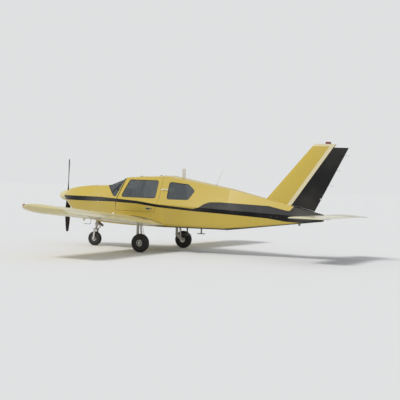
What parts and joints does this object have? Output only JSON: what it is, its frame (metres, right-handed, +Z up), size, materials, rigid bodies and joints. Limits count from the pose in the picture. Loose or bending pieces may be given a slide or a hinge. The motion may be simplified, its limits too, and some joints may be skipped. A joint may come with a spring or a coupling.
{
  "type": "light aeroplane",
  "caption": "Low-wing light aeroplane with a tractor propeller, gull-wing doors, swept fin, all-moving tailplane and a fixed nose-wheel undercarriage",
  "frame": {"origin": "centre of the bounding box on the ground the tyres stand on", "axes": "+X forward, +Y to the port side, +Z up"},
  "size_m": [7.72, 9.7606, 2.75],
  "materials": {
    "body_paint": "satin",
    "wing_paint": "satin",
    "tip_paint": "satin",
    "spinner_paint": "satin",
    "black_paint": "satin",
    "stabilator_paint": "satin",
    "blade_black": "satin",
    "engine_metal": "matte",
    "exhaust_steel": "satin",
    "clear_glass": "gloss",
    "panel_black": "matte",
    "seat_cloth": "matte",
    "seat_metal": "satin",
    "leg_paint": "satin",
    "rim_metal": "satin",
    "tyre": "matte",
    "antenna_plastic": "satin"
  },
  "bodies": {
    "airframe": {"cabin_top": "body_paint", "cabin_tub": "body_paint", "control_yokes": "panel_black", "cowling_lower": "body_paint", "cowling_upper": "body_paint", "engine_block": "engine_metal", "exhaust_pipe": "exhaust_steel", "fin": "body_paint", "fin_beacon": "black_paint", "front_seat_left": "seat_cloth", "front_seat_right": "seat_cloth", "instrument_panel": "panel_black", "main_leg_left": "leg_paint", "main_leg_right": "leg_paint", "nose_leg": "leg_paint", "rear_bench": "seat_cloth", "rear_fuselage": "body_paint", "rear_window_left": "clear_glass", "rear_window_right": "clear_glass", "roof_antenna": "antenna_plastic", "seat_frames": "seat_metal", "windscreen": "clear_glass", "wing_left": "wing_paint", "wing_right": "wing_paint", "wing_tip_left": "tip_paint", "wing_tip_right": "tip_paint"},
    "propeller": {"spinner": "spinner_paint", "propeller": "blade_black"},
    "nose_fork": {"nose_fork": "leg_paint"},
    "nose_wheel": {"nose_rim": "rim_metal", "nose_tyre": "tyre"},
    "main_wheel_left": {"main_rim_left": "rim_metal", "main_tyre_left": "tyre"},
    "main_wheel_right": {"main_rim_right": "rim_metal", "main_tyre_right": "tyre"},
    "door_left": {"door_left": "body_paint", "door_window_left": "clear_glass"},
    "door_right": {"door_right": "body_paint", "door_window_right": "clear_glass"},
    "flap_left": {"flap_left": "body_paint"},
    "flap_right": {"flap_right": "body_paint"},
    "aileron_left": {"aileron_left": "body_paint"},
    "aileron_right": {"aileron_right": "body_paint"},
    "rudder": {"rudder": "black_paint"},
    "stabilator": {"stabilator": "stabilator_paint"},
    "trim_tab": {"trim_tab": "stabilator_paint"}
  },
  "joints": [
    {"name": "propeller_spin", "type": "hinge", "parent": "airframe", "child": "propeller", "pos_m": [3.61, 0, 1.25], "axis": [1, 0, 0], "continuous": true},
    {"name": "nose_steering", "type": "hinge", "parent": "airframe", "child": "nose_fork", "pos_m": [2.77, 0, 0.18], "axis": [-0.124, 0, 0.9923], "range_deg": [-20, 20]},
    {"name": "nose_wheel_spin", "type": "hinge", "parent": "nose_fork", "child": "nose_wheel", "pos_m": [2.77, 0, 0.18], "axis": [0, 1, 0], "continuous": true},
    {"name": "main_wheel_left_spin", "type": "hinge", "parent": "airframe", "child": "main_wheel_left", "pos_m": [0.82, 1.165, 0.222], "axis": [0, 1, 0], "continuous": true},
    {"name": "main_wheel_right_spin", "type": "hinge", "parent": "airframe", "child": "main_wheel_right", "pos_m": [0.82, -1.165, 0.222], "axis": [0, 1, 0], "continuous": true},
    {"name": "door_left_swing", "type": "hinge", "parent": "airframe", "child": "door_left", "pos_m": [1.41, 0.118, 1.81103], "axis": [0.9985, 0, -0.0545], "range_deg": [0, 75]},
    {"name": "door_right_swing", "type": "hinge", "parent": "airframe", "child": "door_right", "pos_m": [1.41, -0.118, 1.81103], "axis": [-0.9985, 0, 0.0545], "range_deg": [0, 75]},
    {"name": "flap_left_hinge", "type": "hinge", "parent": "airframe", "child": "flap_left", "pos_m": [0.84222, 1.59882, 0.76788], "axis": [0, -0.9969, -0.0785], "range_deg": [0, 30]},
    {"name": "flap_right_hinge", "type": "hinge", "parent": "airframe", "child": "flap_right", "pos_m": [0.84222, -1.59882, 0.76788], "axis": [0, -0.9969, 0.0785], "range_deg": [0, 30]},
    {"name": "aileron_left_hinge", "type": "hinge", "parent": "airframe", "child": "aileron_left", "pos_m": [0.78761, 3.49343, 0.91099], "axis": [0, -0.9969, -0.0785], "range_deg": [-20, 20]},
    {"name": "aileron_right_hinge", "type": "hinge", "parent": "airframe", "child": "aileron_right", "pos_m": [0.78761, -3.49343, 0.91099], "axis": [0, -0.9969, 0.0785], "range_deg": [-20, 20]},
    {"name": "rudder_hinge", "type": "hinge", "parent": "airframe", "child": "rudder", "pos_m": [-2.56, 0, 1.255], "axis": [-0.5761, 0, 0.8174], "range_deg": [-25, 25]},
    {"name": "stabilator_pivot", "type": "hinge", "parent": "airframe", "child": "stabilator", "pos_m": [-3.25, 0, 1.015], "axis": [0, -1, 0], "range_deg": [-14, 2]},
    {"name": "trim_tab_hinge", "type": "hinge", "parent": "stabilator", "child": "trim_tab", "pos_m": [-3.71, 0, 1.015], "axis": [0, -1, 0], "range_deg": [-14, 2]}
  ],
  "couplings": [
    {"joint": "flap_right_hinge", "follows": "flap_left_hinge", "ratio": 1},
    {"joint": "aileron_right_hinge", "follows": "aileron_left_hinge", "ratio": -1},
    {"joint": "trim_tab_hinge", "follows": "stabilator_pivot", "ratio": 1}
  ]
}
